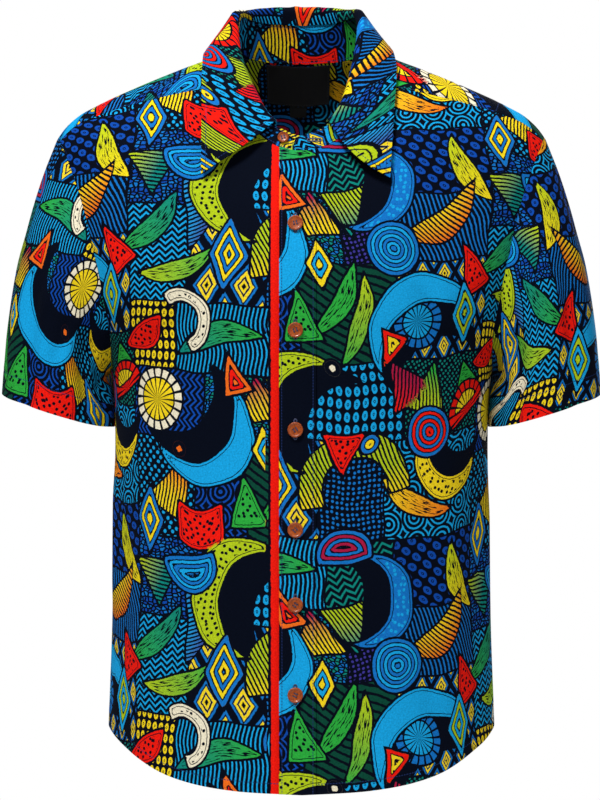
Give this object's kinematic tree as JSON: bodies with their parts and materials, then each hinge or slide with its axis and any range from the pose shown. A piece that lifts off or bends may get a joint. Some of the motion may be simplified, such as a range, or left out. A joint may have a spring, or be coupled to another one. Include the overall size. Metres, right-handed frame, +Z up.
{
  "type": "african print shirt",
  "caption": "Short-sleeved button-up shirt with a spread collar, back yoke and curved shirt-tail hem, filled out as worn and hollow, open at neck, cuffs and hem.",
  "frame": {"origin": "where the wearer's shoulders carry the shirt: midway between its sides, in the plane of the side seams, level with the neck seam at the sides of the neck", "axes": "+X towards the wearer's left, -Y the way the buttoned front faces, +Z up"},
  "size_m": [0.617, 0.2924, 0.8059],
  "materials": {
    "print_cotton": "printed cotton poplin, matt",
    "label_satin": "woven satin label, bare",
    "coconut_shell": "satin coconut shell"
  },
  "bodies": {
    "root": {"front_left": "print_cotton", "front_right": "print_cotton", "placket": "print_cotton", "back": "print_cotton", "yoke": "print_cotton", "sleeve_left": "print_cotton", "sleeve_right": "print_cotton", "collar_stand": "print_cotton", "collar_leaf": "print_cotton", "neck_label": "label_satin", "size_tab": "label_satin", "button_1": "coconut_shell", "button_2": "coconut_shell", "button_3": "coconut_shell", "button_4": "coconut_shell", "button_5": "coconut_shell", "button_6": "coconut_shell", "button_neck": "coconut_shell"}
  },
  "joints": []
}
